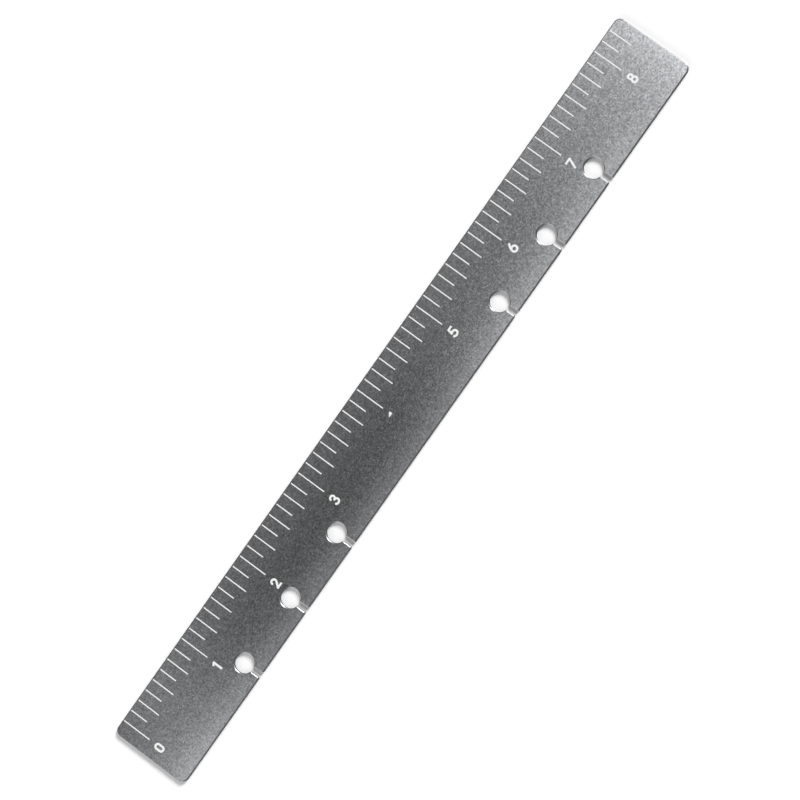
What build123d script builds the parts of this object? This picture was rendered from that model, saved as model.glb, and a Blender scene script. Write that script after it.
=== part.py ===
from build123d import *
import os

# A flat metal ruler that clips over the rings of a six-ring binder.
# It is one blade, cut from sheet, with its sharp edges broken all round both faces.
# The blade lies flat: +X runs along the scale from zero up, +Y points at the
# graduated edge, and +Z is the face that carries the scale. The origin is at the
# middle of the underside.

# The blade
blade_length = 217.5
blade_width = 22.0
blade_thickness = 1.5
corner_radius = 1.8
edge_break = 0.2

# The keyholes: a round hole for each binder ring, and a slit that lets the ring in
rings_in_group = 3
ring_pitch = 20.0
group_gap = 70.0
ring_hole_diameter = 5.2
ring_hole_inset = 5.15
slit_width = 1.5
slit_corner_radius = 0.35

# The scale: inches, cut into eighths, with lines engraved into the face
inch = 25.4
divisions_per_inch = 8
scale_divisions = 66
zero_margin = 3.9
line_width = 0.3
line_depth = 0.05
line_start = 0.35
inch_line_end = 8.4
even_line_end = 6.8
odd_line_end = 5.3

graduated_edge_y = blade_width / 2
slit_edge_y = -blade_width / 2
ring_hole_y = slit_edge_y + ring_hole_inset
zero_x = zero_margin - blade_length / 2
cut_clearance = 1.0


def ring_hole_places():
    """X of every ring hole: two groups, mirrored about the middle of the blade."""
    one_side = [group_gap / 2 + ring_pitch * place for place in range(rings_in_group)]
    return sorted([-x for x in one_side] + one_side)


def keyhole(x):
    """One ring hole with its slit, which runs out through the slit edge."""
    slit_length = ring_hole_inset + cut_clearance
    slit = Pos(x, ring_hole_y - slit_length / 2) * Rectangle(slit_width, slit_length)
    return Pos(x, ring_hole_y) * Circle(ring_hole_diameter / 2) + slit


def blade_outline():
    """The blade seen from above, with the sharp corners of each slit eased."""
    outline = RectangleRounded(blade_length, blade_width, corner_radius)
    for x in ring_hole_places():
        outline -= keyhole(x)
    below_holes = ring_hole_y - ring_hole_diameter / 4
    slit_reach = ring_hole_places()[-1] + slit_width
    slit_corners = [
        corner
        for corner in outline.vertices()
        if corner.Y < below_holes and abs(corner.X) < slit_reach
    ]
    return fillet(slit_corners, slit_corner_radius)


def plain_blade():
    """The outline at its full thickness, with the edges of both faces broken."""
    blade = extrude(blade_outline(), blade_thickness)
    faces = blade.faces().sort_by(Axis.Z)
    return chamfer(faces[0].edges() + faces[-1].edges(), edge_break)


def line_end(division):
    """How far from the graduated edge a line reaches: whole inches go furthest."""
    if division % divisions_per_inch == 0:
        return inch_line_end
    return even_line_end if division % 2 == 0 else odd_line_end


def scale_line(division):
    """The cutter for one engraved line of the scale."""
    length = line_end(division) - line_start
    x = zero_x + division * inch / divisions_per_inch
    y = graduated_edge_y - line_start - length / 2
    z = blade_thickness - line_depth
    place = Pos(x, y, z)
    return place * Box(
        line_width, length, cut_clearance, align=(Align.CENTER, Align.CENTER, Align.MIN)
    )


def ruler_blade():
    """The finished ruler: the plain blade with its scale engraved."""
    lines = [scale_line(division) for division in range(scale_divisions + 1)]
    return plain_blade() - lines


os.makedirs("parts", exist_ok=True)
export_step(ruler_blade(), "parts/ruler_blade.step")
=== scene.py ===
import logging
import math
from abc import ABC, abstractmethod
from collections.abc import Iterator
from dataclasses import dataclass, field
from enum import Enum

import bpy
from mathutils import Matrix, Vector
from mathutils.geometry import delaunay_2d_cdt


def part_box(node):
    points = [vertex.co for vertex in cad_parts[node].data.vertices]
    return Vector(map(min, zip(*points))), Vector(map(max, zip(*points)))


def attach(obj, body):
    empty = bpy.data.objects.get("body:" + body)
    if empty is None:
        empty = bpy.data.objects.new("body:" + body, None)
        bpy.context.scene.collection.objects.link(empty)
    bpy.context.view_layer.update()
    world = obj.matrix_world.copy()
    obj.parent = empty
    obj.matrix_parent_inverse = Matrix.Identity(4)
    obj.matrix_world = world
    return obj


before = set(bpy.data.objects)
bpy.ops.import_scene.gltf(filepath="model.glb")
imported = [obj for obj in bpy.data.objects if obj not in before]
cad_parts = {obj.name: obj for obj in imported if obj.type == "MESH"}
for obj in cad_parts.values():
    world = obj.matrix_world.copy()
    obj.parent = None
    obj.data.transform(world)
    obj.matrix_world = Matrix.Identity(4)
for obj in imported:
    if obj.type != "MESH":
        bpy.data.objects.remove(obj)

Pair = tuple[float, float]
Point = Pair
Place = tuple[float, float, float]
Colour = tuple[float, float, float, float]

MM = 0.001
ROOT = "root"
BLADE_NODE = "ruler_blade"

# A blade face is level when its normal's height is over the first number, and upright under the second.
LEVEL = 0.95
UPRIGHT = 0.1

FULL_RANGE = (0.0, 1.0)
NOISE_DETAIL = 2.0
# Noise rarely leaves this range, so stretching it gives the grain its full contrast.
NOISE_RANGE = (0.3, 0.7)

# The paint's node tree counts in floats, so it takes a rest of less than this for none.
HALF = 0.5

# How finely a numeral's round strokes are cut up, and how close two corners are the same.
DEGREES_PER_STEP = 12.0
DISC_SIDES = 20
SAME_POINT = 1e-5

log = logging.getLogger("ring_ruler")


class Slot(Enum):
    """The record's material slots."""

    BLADE = "blade_metal"


# Materials


class NodeGraph:
    """A node tree of a material, of the sky or of the paint, filled in a node at a time."""

    def __init__(self, tree: bpy.types.NodeTree) -> None:
        """Empties the tree.

        Args:
            tree: the tree to fill.
        """
        self.tree = tree
        tree.nodes.clear()

    def add(
        self, kind: str, settings: dict[str, object] | None = None, **sockets: object
    ) -> bpy.types.Node:
        """Adds one node.

        Args:
            kind: the node's Blender type.
            settings: the node's own properties.
            sockets: an input's name, with _ for a space, and its value or the output that feeds it.

        Returns:
            The new node.
        """
        node = self.tree.nodes.new(kind)
        for name, value in (settings or {}).items():
            setattr(node, name, value)
        for name, value in sockets.items():
            self.feed(node.inputs[name.replace("_", " ")], value)
        return node

    def feed(self, socket: bpy.types.NodeSocket, value: object) -> None:
        """Links a socket to an output, or sets its value.

        Args:
            socket: the input to feed.
            value: the output or the value.
        """
        if isinstance(value, bpy.types.NodeSocket):
            self.tree.links.new(value, socket)
        else:
            socket.default_value = value

    def math(self, operation: str, *values: object) -> bpy.types.NodeSocket:
        """Adds a Math node.

        Args:
            operation: the sum it does.
            values: its inputs in order, as numbers or outputs.

        Returns:
            The node's output.
        """
        node = self.add("ShaderNodeMath", {"operation": operation})
        for socket, value in zip(node.inputs, values):
            self.feed(socket, value)
        return node.outputs[0]

    def spread(
        self, value: bpy.types.NodeSocket, low: float, high: float, span: Pair = FULL_RANGE
    ) -> bpy.types.NodeSocket:
        """Stretches a value over another range.

        Args:
            value: the output to stretch.
            low: what the low end of span becomes.
            high: what its high end becomes.
            span: the range of value that is stretched; what is outside it is cut off.

        Returns:
            The stretched output.
        """
        node = self.add(
            "ShaderNodeMapRange", Value=value, From_Min=span[0], From_Max=span[1], To_Min=low, To_Max=high
        )
        return node.outputs["Result"]

    def swing(
        self, value: bpy.types.NodeSocket, middle: float, by: float, span: Pair = FULL_RANGE
    ) -> bpy.types.NodeSocket:
        """Stretches a value as far below a middle as above it, and returns the output."""
        return self.spread(value, middle - by, middle + by, span)

    def noise(self, size: float, roughness: float = 0.5) -> bpy.types.NodeSocket:
        """Adds noise that stays in place on the object.

        Args:
            size: how wide its spots are, in metres.
            roughness: how much its finer spots count.

        Returns:
            The noise, from 0 to 1.
        """
        place = self.add("ShaderNodeTexCoord").outputs["Object"]
        sockets = {"Vector": place, "Scale": 1 / size, "Detail": NOISE_DETAIL, "Roughness": roughness}
        return self.add("ShaderNodeTexNoise", **sockets).outputs["Fac"]

    def toned(self, colour: Colour, tone: bpy.types.NodeSocket) -> bpy.types.NodeSocket:
        """Makes a colour lighter and darker.

        Args:
            colour: the colour.
            tone: what it is multiplied by.

        Returns:
            The colour that comes out.
        """
        node = self.add("ShaderNodeVectorMath", {"operation": "SCALE"}, Scale=tone)
        node.inputs[0].default_value = colour[:3]
        return node.outputs[0]

    def relief(self, height: bpy.types.NodeSocket, depth: float) -> bpy.types.NodeSocket:
        """Adds a bump of one depth in metres, and returns its normal."""
        return self.add("ShaderNodeBump", Strength=1.0, Distance=depth, Height=height).outputs[0]

    def surface(self, **sockets: object) -> None:
        """Ends a material in a Principled shader with these inputs."""
        shader = self.add("ShaderNodeBsdfPrincipled", **sockets)
        self.add("ShaderNodeOutputMaterial", Surface=shader.outputs[0])


class Finish(ABC):
    """One surface finish, made into one material."""

    name: str

    def material(self) -> bpy.types.Material:
        """Builds the finish's material the first time that it is asked for.

        Returns:
            The material.
        """
        made = bpy.data.materials.get(self.name)
        if made is None:
            made = bpy.data.materials.new(self.name)
            made.use_nodes = True
            self.fill(NodeGraph(made.node_tree))
        return made

    @abstractmethod
    def fill(self, graph: NodeGraph) -> None:
        """Builds the finish's nodes.

        Args:
            graph: the empty tree to build them in.
        """


@dataclass(frozen=True)
class BlastedMetal(Finish):
    """Satin metal with the fine even grain that blasting leaves, over a faint broader mottle."""

    name: str = "blasted_metal"
    colour: Colour = (0.206, 0.209, 0.214, 1.0)
    grain: float = 0.42 * MM
    grain_roughness: float = 0.6
    mottle: float = 1.8 * MM
    grain_contrast: float = 0.4
    mottle_contrast: float = 0.06
    roughness: float = 0.25
    roughness_swing: float = 0.055
    pit_depth: float = 0.006 * MM

    def fill(self, graph: NodeGraph) -> None:
        """Builds the finish's nodes.

        Args:
            graph: the empty tree to build them in.
        """
        grain = graph.noise(self.grain, self.grain_roughness)
        fine = graph.swing(grain, 1.0, self.grain_contrast, NOISE_RANGE)
        broad = graph.swing(graph.noise(self.mottle), 1.0, self.mottle_contrast, NOISE_RANGE)
        graph.surface(
            Base_Color=graph.toned(self.colour, graph.math("MULTIPLY", fine, broad)),
            Metallic=1.0,
            Roughness=graph.swing(grain, self.roughness, self.roughness_swing),
            Normal=graph.relief(grain, self.pit_depth),
        )


@dataclass(frozen=True)
class CutEdge(Finish):
    """The duller metal of the blade's cut edges, which stays dark when it is seen from above."""

    name: str = "cut_edge"
    colour: Colour = (0.24, 0.24, 0.25, 1.0)
    grazing_tint: Colour = (0.3, 0.3, 0.3, 1.0)
    roughness: float = 0.4
    grain: float = 0.25 * MM
    grain_contrast: float = 0.06
    grain_depth: float = 0.01 * MM

    def fill(self, graph: NodeGraph) -> None:
        """Builds the finish's nodes.

        Args:
            graph: the empty tree to build them in.
        """
        grain = graph.noise(self.grain)
        graph.surface(
            Base_Color=graph.toned(self.colour, graph.swing(grain, 1.0, self.grain_contrast)),
            Metallic=1.0,
            Specular_Tint=self.grazing_tint,
            Roughness=self.roughness,
            Normal=graph.relief(grain, self.grain_depth),
        )


@dataclass(frozen=True)
class EdgeBreak(Finish):
    """The slope where a face's edge is broken, which shines like the flatter round that tumbling leaves.

    Attributes:
        easing: how far the slope's normal leans back to the face's, where 0 leaves it as it is.
    """

    name: str = "edge_break"
    colour: Colour = (0.24, 0.24, 0.25, 1.0)
    roughness: float = 0.35
    easing: float = 0.595

    def fill(self, graph: NodeGraph) -> None:
        """Builds the finish's nodes.

        Args:
            graph: the empty tree to build them in.
        """
        slope = graph.add("ShaderNodeTexCoord").outputs["Normal"]
        side = graph.math("SIGN", graph.add("ShaderNodeSeparateXYZ", Vector=slope).outputs["Z"])
        lean = graph.add("ShaderNodeCombineXYZ", Z=graph.math("MULTIPLY", side, self.easing))
        eased = graph.add("ShaderNodeVectorMath", {"operation": "ADD"})
        graph.feed(eased.inputs[0], slope)
        graph.feed(eased.inputs[1], lean.outputs[0])
        to_world = {"vector_type": "NORMAL", "convert_from": "OBJECT", "convert_to": "WORLD"}
        turned = graph.add("ShaderNodeVectorTransform", to_world, Vector=eased.outputs[0])
        graph.surface(
            Base_Color=self.colour,
            Metallic=1.0,
            Roughness=self.roughness,
            Normal=turned.outputs[0],
        )


@dataclass(frozen=True)
class MarkingPaint(Finish):
    """The white paint in the lines and numerals."""

    name: str = "marking_paint"
    colour: Colour = (0.90, 0.90, 0.90, 1.0)
    roughness: float = 0.55
    grain: float = 0.12 * MM
    grain_contrast: float = 0.04
    grain_depth: float = 0.002 * MM

    def fill(self, graph: NodeGraph) -> None:
        """Builds the finish's nodes.

        Args:
            graph: the empty tree to build them in.
        """
        grain = graph.noise(self.grain)
        graph.surface(
            Base_Color=graph.toned(self.colour, graph.swing(grain, 1.0, self.grain_contrast)),
            Roughness=self.roughness,
            Normal=graph.relief(grain, self.grain_depth),
        )


@dataclass(frozen=True)
class StudioFloor(Finish):
    """A plain pale floor that shows white and keeps the shadow.

    Attributes:
        shade: how pale it is to the light that it throws back.
        seen_shade: how pale it is where it is looked at, mirrored or seen through something.
        lift: the glow that takes it there from pale to white.
    """

    name: str = "studio_floor"
    shade: float = 0.90
    seen_shade: float = 1.0
    lift: float = 0.06

    def fill(self, graph: NodeGraph) -> None:
        """Builds the finish's nodes.

        Args:
            graph: the empty tree to build them in.
        """
        rays = graph.add("ShaderNodeLightPath").outputs
        seen = graph.math("MAXIMUM", rays["Is Camera Ray"], rays["Is Glossy Ray"])
        seen = graph.math("MAXIMUM", seen, rays["Is Transmission Ray"])
        glow = graph.add("ShaderNodeEmission", Strength=graph.math("MULTIPLY", seen, self.lift))
        shade = graph.spread(seen, self.shade, self.seen_shade)
        grey = graph.add("ShaderNodeCombineColor", Red=shade, Green=shade, Blue=shade)
        matt = graph.add("ShaderNodeBsdfDiffuse", Color=grey.outputs[0])
        both = graph.add("ShaderNodeAddShader")
        graph.feed(both.inputs[0], glow.outputs[0])
        graph.feed(both.inputs[1], matt.outputs[0])
        graph.add("ShaderNodeOutputMaterial", Surface=both.outputs[0])


# The ruler


@dataclass
class Blade:
    """The blade as the frame gives it: where its edges and its face are."""

    low: Vector = field(init=False)
    high: Vector = field(init=False)

    def __post_init__(self) -> None:
        """Reads the blade's box from the frame."""
        self.low, self.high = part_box(BLADE_NODE)

    @property
    def face(self) -> float:
        """Height of the face that carries the scale."""
        return self.high.z

    @property
    def graduated_edge(self) -> float:
        """Y of the graduated edge."""
        return self.high.y

    def dress(self, face: Finish, broken: Finish, cut: Finish) -> None:
        """Gives the blade its finishes.

        Args:
            face: the finish of its two faces.
            broken: the finish of the slopes where their edges are broken.
            cut: the finish of the upright edges.
        """
        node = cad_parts[BLADE_NODE]
        node.data.materials.clear()
        for finish in (face, broken, cut):
            node.data.materials.append(finish.material())
        for polygon in node.data.polygons:
            level = abs(polygon.normal.z)
            polygon.material_index = int(level < LEVEL) + int(level < UPRIGHT)
        log.info("%s dressed in %s, its edges in %s and %s", BLADE_NODE, face.name, broken.name, cut.name)


def new_piece(name: str, mesh: bpy.types.Mesh) -> bpy.types.Object:
    """Puts a finished mesh in the scene at the origin.

    Args:
        name: the piece's name.
        mesh: its mesh, with its place in its vertices.

    Returns:
        The new object.
    """
    piece = bpy.data.objects.new(name, mesh)
    bpy.context.scene.collection.objects.link(piece)
    return piece


@dataclass
class Scale:
    """Where the engraved lines are, in metres: inches, cut into eighths.

    Attributes:
        last_line: the number of the last line, counted from 0.
        zero_margin: how far the zero line is from the blade's end.
        line_start: how far from the graduated edge every line starts.
        inch_end: how far from that edge the lines at the inches end.
        even_end: the same for the quarters and halves.
        odd_end: the same for the eighths between them.
    """

    blade: Blade
    inch: float = 25.4 * MM
    per_inch: int = 8
    last_line: int = 66
    zero_margin: float = 3.9 * MM
    line_width: float = 0.3 * MM
    line_depth: float = 0.05 * MM
    line_start: float = 0.35 * MM
    inch_end: float = 8.4 * MM
    even_end: float = 6.8 * MM
    odd_end: float = 5.3 * MM

    @property
    def zero(self) -> float:
        """X of the zero line."""
        return self.blade.low.x + self.zero_margin

    def inch_place(self, inches: int) -> float:
        """Returns X of a whole inch."""
        return self.zero + inches * self.inch


@dataclass
class LineFilling:
    """White paint in the engraved lines, laid in by a node tree.

    Attributes:
        side_gap: what is left free between the paint and a line's walls.
        below_face: how far the paint stays under the face.
        above_floor: how far it stays off a line's floor.
    """

    scale: Scale
    finish: Finish
    side_gap: float = 0.004 * MM
    below_face: float = 0.004 * MM
    above_floor: float = 0.004 * MM

    def inputs(self) -> dict[str, object]:
        """Works out the tree's sizes from the scale's.

        Returns:
            The tree's named inputs and their values.
        """
        scale = self.scale
        top = scale.blade.face - self.below_face
        bottom = scale.blade.face - scale.line_depth + self.above_floor
        return {
            "Lines": scale.last_line + 1,
            "Per inch": scale.per_inch,
            "Pitch": scale.inch / scale.per_inch,
            "Zero": scale.zero,
            "Edge": scale.blade.graduated_edge,
            "Start": scale.line_start + self.side_gap,
            "Inch end": scale.inch_end - self.side_gap,
            "Even end": scale.even_end - self.side_gap,
            "Odd end": scale.odd_end - self.side_gap,
            "Width": scale.line_width - 2 * self.side_gap,
            "Height": (bottom + top) / 2,
            "Thickness": top - bottom,
            "Paint": self.finish.material(),
        }

    def build(self) -> bpy.types.Object:
        """Builds the filling as one plain mesh.

        Returns:
            The filling's object, riding on the blade's body.
        """
        values = self.inputs()
        tree = FillingTree(values).tree
        seed = new_piece("filling_seed", bpy.data.meshes.new("filling_seed"))
        modifier = seed.modifiers.new("filling", "NODES")
        modifier.node_group = tree
        for item in tree.interface.items_tree:
            if item.item_type == "SOCKET" and item.in_out == "INPUT" and item.name in values:
                modifier[item.identifier] = values[item.name]
        evaluated = seed.evaluated_get(bpy.context.evaluated_depsgraph_get())
        mesh = bpy.data.meshes.new_from_object(evaluated)
        bpy.data.objects.remove(seed)
        piece = new_piece("scale_filling", mesh)
        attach(piece, ROOT)
        log.info("%s: %d lines", piece.name, self.scale.last_line + 1)
        return piece


class FillingTree:
    """The node tree that lays one bar of paint in each line, as long as its division asks."""

    KINDS = {int: "NodeSocketInt", float: "NodeSocketFloat", bpy.types.Material: "NodeSocketMaterial"}

    def __init__(self, values: dict[str, object]) -> None:
        """Builds the tree.

        Args:
            values: the named inputs, whose types set the sockets' types.
        """
        self.tree = bpy.data.node_groups.new("line_filling", "GeometryNodeTree")
        self.graph = NodeGraph(self.tree)
        for name, value in values.items():
            kind = next(socket for base, socket in self.KINDS.items() if isinstance(value, base))
            self.tree.interface.new_socket(name, in_out="INPUT", socket_type=kind)
        self.tree.interface.new_socket("Geometry", in_out="OUTPUT", socket_type="NodeSocketGeometry")
        self.given = self.graph.add("NodeGroupInput").outputs
        self.connect()

    def switch(self, test: object, if_not: object, if_so: object) -> bpy.types.NodeSocket:
        """Adds a Switch between two numbers.

        Args:
            test: the output that chooses.
            if_not: the number when it is false.
            if_so: the number when it is true.

        Returns:
            The chosen number.
        """
        node = self.graph.add("GeometryNodeSwitch", {"input_type": "FLOAT"})
        for socket, value in zip(node.inputs, (test, if_not, if_so)):
            self.graph.feed(socket, value)
        return node.outputs[0]

    def divides(self, index: object, by: object) -> bpy.types.NodeSocket:
        """Tests whether a line's number divides evenly.

        Args:
            index: the output with the line's number.
            by: the whole number to divide it by.

        Returns:
            The output that is true where nothing is left over.
        """
        no_rest = {"data_type": "FLOAT", "operation": "LESS_THAN"}
        node = self.graph.add("FunctionNodeCompare", no_rest)
        self.graph.feed(node.inputs[0], self.graph.math("MODULO", index, by))
        self.graph.feed(node.inputs[1], HALF)
        return node.outputs[0]

    def connect(self) -> None:
        """Wires the tree from its inputs to its output."""
        graph, given = self.graph, self.given
        index = graph.add("GeometryNodeInputIndex").outputs[0]
        end = self.switch(self.divides(index, 2.0), given["Odd end"], given["Even end"])
        end = self.switch(self.divides(index, given["Per inch"]), end, given["Inch end"])
        length = graph.math("SUBTRACT", end, given["Start"])
        middle = graph.math("ADD", given["Start"], graph.math("DIVIDE", length, 2.0))
        place = graph.add(
            "ShaderNodeCombineXYZ",
            X=graph.math("ADD", given["Zero"], graph.math("MULTIPLY", index, given["Pitch"])),
            Y=graph.math("SUBTRACT", given["Edge"], middle),
            Z=given["Height"],
        )
        size = graph.add("ShaderNodeCombineXYZ", X=given["Width"], Y=length, Z=given["Thickness"])
        points = graph.add("GeometryNodePoints", Count=given["Lines"], Position=place.outputs[0])
        bars = graph.add(
            "GeometryNodeInstanceOnPoints",
            Points=points.outputs[0],
            Instance=graph.add("GeometryNodeMeshCube").outputs["Mesh"],
            Scale=size.outputs[0],
        )
        solid = graph.add("GeometryNodeRealizeInstances", Geometry=bars.outputs[0])
        painted = graph.add("GeometryNodeSetMaterial", Geometry=solid.outputs[0], Material=given["Paint"])
        graph.add("NodeGroupOutput", Geometry=painted.outputs[0])


class Stroke:
    """One pen stroke of a numeral: a centre line that is drawn with lines and arcs."""

    def __init__(self, x: float, y: float, closed: bool = False) -> None:
        """Starts the stroke.

        Args:
            x: how far right of the numeral's middle, in millimetres.
            y: how far above its foot, in millimetres.
            closed: whether it runs back to its start.
        """
        self.points: list[Point] = [(x, y)]
        self.closed = closed

    def line(self, x: float, y: float) -> "Stroke":
        """Draws straight to x, y and returns the stroke."""
        self.points.append((x, y))
        return self

    def arc(self, centre: Point, radii: Pair, start: float, turn: float) -> "Stroke":
        """Draws along an ellipse.

        Args:
            centre: the ellipse's middle, in millimetres.
            radii: its half width and half height, in millimetres.
            start: the angle where the arc starts, in degrees from the right, anticlockwise.
            turn: how far it goes round, in degrees, negative for clockwise.

        Returns:
            The stroke.
        """
        steps = max(2, math.ceil(abs(turn) / DEGREES_PER_STEP))
        for step in range(steps + 1):
            angle = math.radians(start + turn * step / steps)
            point = (centre[0] + radii[0] * math.cos(angle), centre[1] + radii[1] * math.sin(angle))
            if math.dist(point, self.points[-1]) > SAME_POINT:
                self.points.append(point)
        return self

    def faces(self, width: float) -> list[list[Point]]:
        """Widens the centre line.

        Args:
            width: the pen's width, in millimetres.

        Returns:
            A rectangle for each step of the stroke, and a disc where two steps meet.
        """
        steps = list(zip(self.points, self.points[1:]))
        joints = self.points[:-1] if self.closed else self.points[1:-1]
        return [bar(*step, width) for step in steps] + [disc(joint, width) for joint in joints]


def bar(start: Point, end: Point, width: float) -> list[Point]:
    """Draws a rectangle round a straight step of a stroke.

    Args:
        start: where the step starts.
        end: where it ends.
        width: the rectangle's width.

    Returns:
        The rectangle's corners.
    """
    way = (Vector(end) - Vector(start)).normalized() * width / 2
    x, y = -way.y, way.x
    return [
        (start[0] - x, start[1] - y),
        (end[0] - x, end[1] - y),
        (end[0] + x, end[1] + y),
        (start[0] + x, start[1] + y),
    ]


def disc(centre: Point, width: float) -> list[Point]:
    """Draws a many-sided disc, which rounds a corner of a stroke.

    Args:
        centre: its middle.
        width: its width.

    Returns:
        The disc's corners.
    """
    turns = [math.tau * side / DISC_SIDES for side in range(DISC_SIDES)]
    radius = width / 2
    return [(centre[0] + radius * math.cos(turn), centre[1] + radius * math.sin(turn)) for turn in turns]


class Numeral(Enum):
    """The marks under the whole inches, as the inches that they stand at."""

    ZERO = 0
    ONE = 1
    TWO = 2
    THREE = 3
    WORN_FOUR = 4
    FIVE = 5
    SIX = 6
    SEVEN = 7
    EIGHT = 8

    def strokes(self) -> list[Stroke]:
        """Draws the numeral.

        Returns:
            Its strokes, in millimetres from the middle of its foot. The worn numeral has none.
        """
        if self is Numeral.ZERO:
            top = Stroke(0.55, 2.04, closed=True).arc((-0.09, 2.04), (0.64, 0.60), 0, 180)
            return [top.arc((-0.09, 0.95), (0.64, 0.60), 180, 180).line(0.55, 2.04)]
        if self is Numeral.ONE:
            return [Stroke(-0.04, 0.07).line(-0.04, 2.94), Stroke(-0.80, 2.28).line(0.0, 2.74)]
        if self is Numeral.TWO:
            bowl = Stroke(-0.83, 2.04).arc((-0.18, 1.99), (0.64, 0.65), 175, -210)
            return [bowl.line(-0.74, 0.32).line(0.83, 0.32)]
        if self is Numeral.THREE:
            upper = Stroke(-0.63, 2.24).arc((-0.03, 2.12), (0.61, 0.57), 168, -260)
            lower = Stroke(-0.15, 1.53).arc((-0.03, 0.89), (0.72, 0.64), 90, -250)
            return [upper, lower]
        if self is Numeral.FIVE:
            body = Stroke(1.02, 2.61).line(-0.20, 2.61).line(-0.43, 1.45)
            return [body.arc((0.09, 0.92), (0.79, 0.68), 128, -290)]
        if self is Numeral.SIX:
            bowl = Stroke(0.90, 0.89, closed=True).arc((0.16, 0.89), (0.74, 0.72), 0, 360)
            stem = Stroke(0.44, 2.78).line(-0.18, 2.05).line(-0.46, 1.50)
            return [bowl, stem.arc((0.16, 0.89), (0.74, 0.72), 150, 30)]
        if self is Numeral.SEVEN:
            return [Stroke(-1.16, 2.56).line(0.54, 2.56).line(-0.55, 0.0)]
        if self is Numeral.EIGHT:
            upper = Stroke(0.54, 1.95, closed=True).arc((-0.03, 1.95), (0.57, 0.59), 0, 360)
            lower = Stroke(0.755, 0.71, closed=True).arc((0.045, 0.71), (0.71, 0.65), 0, 360)
            return [upper, lower]
        return []

    def faces(self, pen: float) -> list[list[Point]]:
        """Lists the flat faces that make up the numeral, which may overlap.

        Args:
            pen: the pen's width, in millimetres.

        Returns:
            Each face's corners, in millimetres. All that is left of the worn numeral is a wedge.
        """
        if self is Numeral.WORN_FOUR:
            return [
                [(-0.78, 2.16), (0.36, 2.08), (0.42, 2.84), (0.05, 2.93), (-0.28, 2.68), (-0.76, 2.36)]
            ]
        return [face for stroke in self.strokes() for face in stroke.faces(pen)]


@dataclass
class Numerals:
    """White numerals under the whole inches: a thin film of paint on the face.

    Attributes:
        pen: the width of the strokes, in millimetres.
        foot: how far the numerals' feet are from the graduated edge.
        film: how far the paint stands proud of the face.
        sunk: how far it reaches into the face, so that no gap shows.
    """

    scale: Scale
    finish: Finish
    pen: float = 0.54
    foot: float = 13.15 * MM
    film: float = 0.008 * MM
    sunk: float = 0.002 * MM

    def build(self) -> list[bpy.types.Object]:
        """Builds each numeral as its own closed piece.

        Returns:
            The numerals' objects, riding on the blade's body.
        """
        return [self.piece(numeral) for numeral in Numeral]

    def piece(self, numeral: Numeral) -> bpy.types.Object:
        """Builds one numeral.

        Args:
            numeral: which one.

        Returns:
            Its object.
        """
        corners, triangles = merged(numeral.faces(self.pen))
        blade = self.scale.blade
        across = self.scale.inch_place(numeral.value)
        along = blade.graduated_edge - self.foot
        place = Matrix.Translation((across, along, blade.face - self.sunk)) @ Matrix.Scale(MM, 4)
        mesh = film_mesh(corners, triangles, (self.film + self.sunk) / MM)
        mesh.transform(place)
        mesh.materials.append(self.finish.material())
        piece = new_piece(f"numeral_{numeral.name.lower()}", mesh)
        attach(piece, ROOT)
        log.info("%s at %d in", piece.name, numeral.value)
        return piece


def merged(faces: list[list[Point]]) -> tuple[list[Point], list[tuple[int, ...]]]:
    """Joins flat faces that may overlap into one sheet of triangles.

    Args:
        faces: each face's corners.

    Returns:
        The sheet's corners and its triangles.
    """
    corners = [Vector(corner) for face in faces for corner in face]
    starts = [sum(len(face) for face in faces[:count]) for count in range(len(faces))]
    rings = [list(range(start, start + len(face))) for start, face in zip(starts, faces)]
    found = delaunay_2d_cdt(corners, [], rings, 0, SAME_POINT)
    points, triangles, sources = found[0], found[2], found[5]
    kept = [tuple(triangle) for triangle, source in zip(triangles, sources) if source]
    return [tuple(point) for point in points], kept


def film_mesh(corners: list[Point], triangles: list[tuple[int, ...]], height: float) -> bpy.types.Mesh:
    """Gives a flat sheet a thickness, closed all round.

    Args:
        corners: the sheet's corners.
        triangles: its triangles.
        height: how thick it becomes, upwards.

    Returns:
        The closed mesh.
    """
    used = sorted({corner for triangle in triangles for corner in triangle})
    number = {corner: place for place, corner in enumerate(used)}
    count = len(used)
    low = [(*corners[corner], 0.0) for corner in used]
    high = [(*corners[corner], height) for corner in used]
    sheet = [turned_up([number[corner] for corner in triangle], low) for triangle in triangles]
    edges = {edge for face in sheet for edge in pairs(face)}
    rim = [(a, b) for a, b in sorted(edges) if (b, a) not in edges]
    top = [[corner + count for corner in face] for face in sheet]
    bottom = [face[::-1] for face in sheet]
    sides = [[a, b, b + count, a + count] for a, b in rim]
    mesh = bpy.data.meshes.new("film")
    mesh.from_pydata(low + high, [], top + bottom + sides)
    mesh.update()
    return mesh


def pairs(face: list[int]) -> Iterator[tuple[int, int]]:
    """Returns the face's edges, each as its two corners in order."""
    return zip(face, face[1:] + face[:1])


def turned_up(face: list[int], corners: list[tuple[float, ...]]) -> list[int]:
    """Orders a flat face's corners anticlockwise.

    Args:
        face: its corners' numbers.
        corners: where the corners are.

    Returns:
        The numbers, turned round where they ran clockwise.
    """
    a, b, c = (Vector(corners[place]) for place in face[:3])
    return face if (b - a).cross(c - a).z > 0 else face[::-1]


# The camera and the studio


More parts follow.
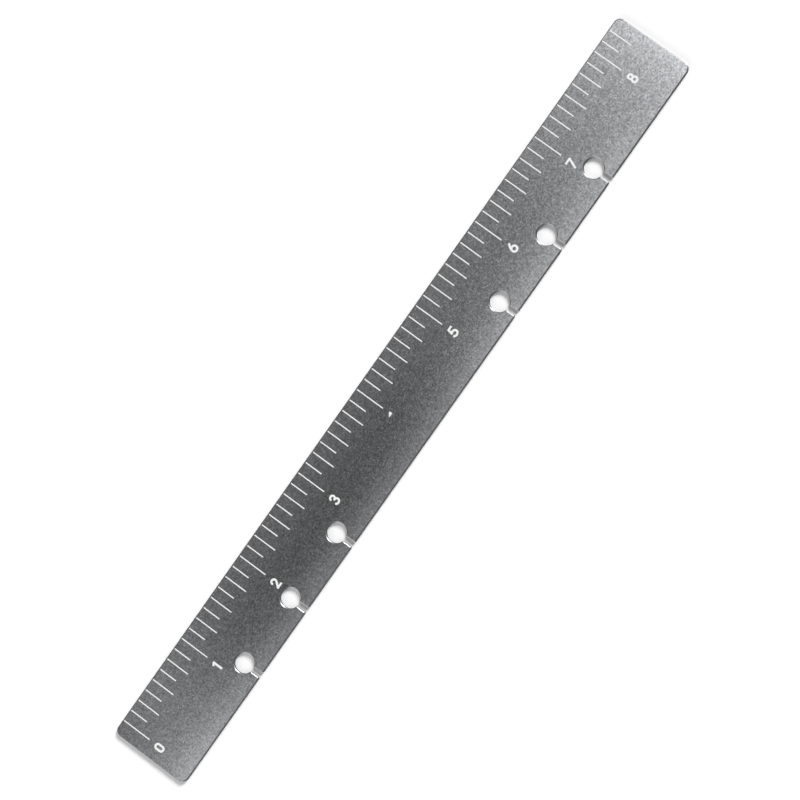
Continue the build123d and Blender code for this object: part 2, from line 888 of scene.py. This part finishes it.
@dataclass
class Camera:
    """The photograph's viewpoint, close to straight above.

    Attributes:
        place: where it is, in millimetres.
        target: what is in the middle of the picture, in millimetres.
        lens: its focal length, in millimetres.
        sensor: how wide its sensor is, in millimetres.
        scale_climb: how steeply the ruler climbs to the right in the picture, in degrees.
    """

    place: Place = (86.09, -160.01, 900.0)
    target: Place = (0.917, 0.300, 1.5)
    lens: float = 167.19
    sensor: float = 36.0
    scale_climb: float = 54.817

    def build(self) -> None:
        """Makes the camera and gives it to the scene."""
        place = Vector(self.place) * MM
        back = (place - Vector(self.target) * MM).normalized()
        along = Vector((1.0, 0.0, 0.0))
        along = (along - back * along.dot(back)).normalized()
        across = back.cross(along)
        climb = math.radians(self.scale_climb)
        turn, lift = math.cos(climb), math.sin(climb)
        right = along * turn - across * lift
        up = along * lift + across * turn
        data = bpy.data.cameras.new("camera")
        data.lens = self.lens
        data.sensor_width = self.sensor
        camera = bpy.data.objects.new("camera", data)
        turned = Matrix((right, up, back)).transposed().to_4x4()
        camera.matrix_world = Matrix.Translation(place) @ turned
        bpy.context.scene.collection.objects.link(camera)
        bpy.context.scene.camera = camera
        log.info("camera %.0f mm above the ground", self.place[2])


@dataclass(frozen=True)
class Softbox:
    """A rectangular lamp, which is aimed at the ruler's middle and isn't seen itself.

    Attributes:
        place: where its middle is, in millimetres.
        size: its two sides, in millimetres.
        brightness: how bright its face is, where plain white in the picture is 1.
    """

    name: str
    place: Place
    size: Pair
    brightness: float

    def aim(self) -> Vector:
        """Returns the place that the lamp faces, in millimetres."""
        return Vector((0.0, 0.0, 0.0))

    def build(self, lit: bpy.types.Collection | None = None) -> None:
        """Makes the lamp.

        Args:
            lit: what the lamp lights, or None for everything.
        """
        data = bpy.data.lights.new(self.name, "AREA")
        data.shape = "RECTANGLE"
        data.size, data.size_y = (side * MM for side in self.size)
        data.energy = self.brightness * math.pi * data.size * data.size_y
        lamp = bpy.data.objects.new(self.name, data)
        place, aim = Vector(self.place) * MM, self.aim() * MM
        turned = (aim - place).to_track_quat("-Z", "Y").to_matrix().to_4x4()
        lamp.matrix_world = Matrix.Translation(place) @ turned
        lamp.visible_camera = False
        if lit is not None:
            lamp.light_linking.receiver_collection = lit
        bpy.context.scene.collection.objects.link(lamp)
        log.info("%s, brightness %.1f", self.name, self.brightness)


@dataclass(frozen=True)
class LevelCard(Softbox):
    """A bright card that hangs level over the blade."""

    def aim(self) -> Vector:
        """Returns the place right under the card, in millimetres."""
        return Vector((self.place[0], self.place[1], 0.0))


@dataclass
class Studio:
    """The floor, the lamps and the sky round the ruler.

    Attributes:
        floor_reach: how far the floor reaches from the middle.
        horizon: how bright the sky is at the horizon.
        zenith: how bright it is overhead.
        falloff: how fast it gets there.
        softboxes: the lamps that light everything.
        cards: what the metal mirrors, which light the blade alone. Where two overlap, they hang at
            different heights, because light is lost where their faces fall together.
    """

    floor_reach: float = 6000 * MM
    horizon: float = 1.0
    zenith: float = 0.20
    falloff: float = 20.0
    softboxes: tuple[Softbox, ...] = (
        Softbox("key", (1768.0, 0.0, 1768.0), (700.0, 1050.0), 24.5),
        Softbox("fill", (-573.0, 0.0, 401.0), (620.0, 620.0), 1.7),
    )
    cards: tuple[Softbox, ...] = (
        Softbox("front_card", (-417.0, -1033.0, 1004.0), (682.0, 315.0), 0.5),
        LevelCard("middle_card", (30.0, 10.0, 200.0), (60.0, 20.0), 2.85),
        LevelCard("zero_end_card", (-240.0, 10.0, 200.0), (240.0, 60.0), 1.20),
        LevelCard("far_end_card", (120.0, -10.0, 200.0), (120.0, 120.0), 1.09),
        LevelCard("far_end_core", (150.0, 30.0, 195.0), (60.0, 60.0), 6.02),
        LevelCard("slit_edge_strip", (-30.0, -10.0, 50.0), (240.0, 20.0), 0.54),
        LevelCard("slit_edge_fill", (0.0, -10.0, 47.0), (240.0, 20.0), 0.36),
        LevelCard("zero_corner_card", (-130.0, -13.0, 53.0), (44.0, 18.0), 0.70),
        LevelCard("graduated_edge_strip", (0.0, 30.0, 80.0), (240.0, 20.0), 0.56),
    )

    def build(self) -> None:
        """Makes the whole studio."""
        self.build_floor(StudioFloor())
        self.build_sky()
        metal = bpy.data.collections.new("metal")
        metal.objects.link(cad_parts[BLADE_NODE])
        for softbox in self.softboxes:
            softbox.build()
        for card in self.cards:
            card.build(metal)

    def build_floor(self, finish: Finish) -> None:
        """Makes the floor.

        Args:
            finish: the floor's finish.
        """
        reach = self.floor_reach
        corners = [(-reach, -reach, 0), (reach, -reach, 0), (reach, reach, 0), (-reach, reach, 0)]
        mesh = bpy.data.meshes.new("floor")
        mesh.from_pydata(corners, [], [(0, 1, 2, 3)])
        mesh.materials.append(finish.material())
        new_piece("floor", mesh)

    def build_sky(self) -> None:
        """Makes a sky that is bright at the horizon and dark overhead."""
        world = bpy.data.worlds.new("studio")
        world.use_nodes = True
        graph = NodeGraph(world.node_tree)
        way = graph.add("ShaderNodeTexCoord").outputs["Generated"]
        height = graph.add("ShaderNodeSeparateXYZ", Vector=way).outputs["Z"]
        low = graph.math("SUBTRACT", 1.0, graph.math("ABSOLUTE", height))
        fade = graph.math("POWER", low, self.falloff)
        strength = graph.spread(fade, self.zenith, self.horizon)
        sky = graph.add("ShaderNodeBackground", Strength=strength)
        graph.add("ShaderNodeOutputWorld", Surface=sky.outputs[0])
        bpy.context.scene.world = world


def main() -> None:
    """Builds the ruler's look and its studio."""
    logging.basicConfig(level=logging.INFO, format="%(name)s: %(message)s")
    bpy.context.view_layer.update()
    Camera().build()
    blade = Blade()
    blade.dress(BlastedMetal(), EdgeBreak(), CutEdge())
    scale = Scale(blade)
    paint = MarkingPaint()
    LineFilling(scale, paint).build()
    Numerals(scale, paint).build()
    Studio().build()
    bpy.context.scene.view_settings.view_transform = "Standard"


if __name__ == "__main__":
    main()
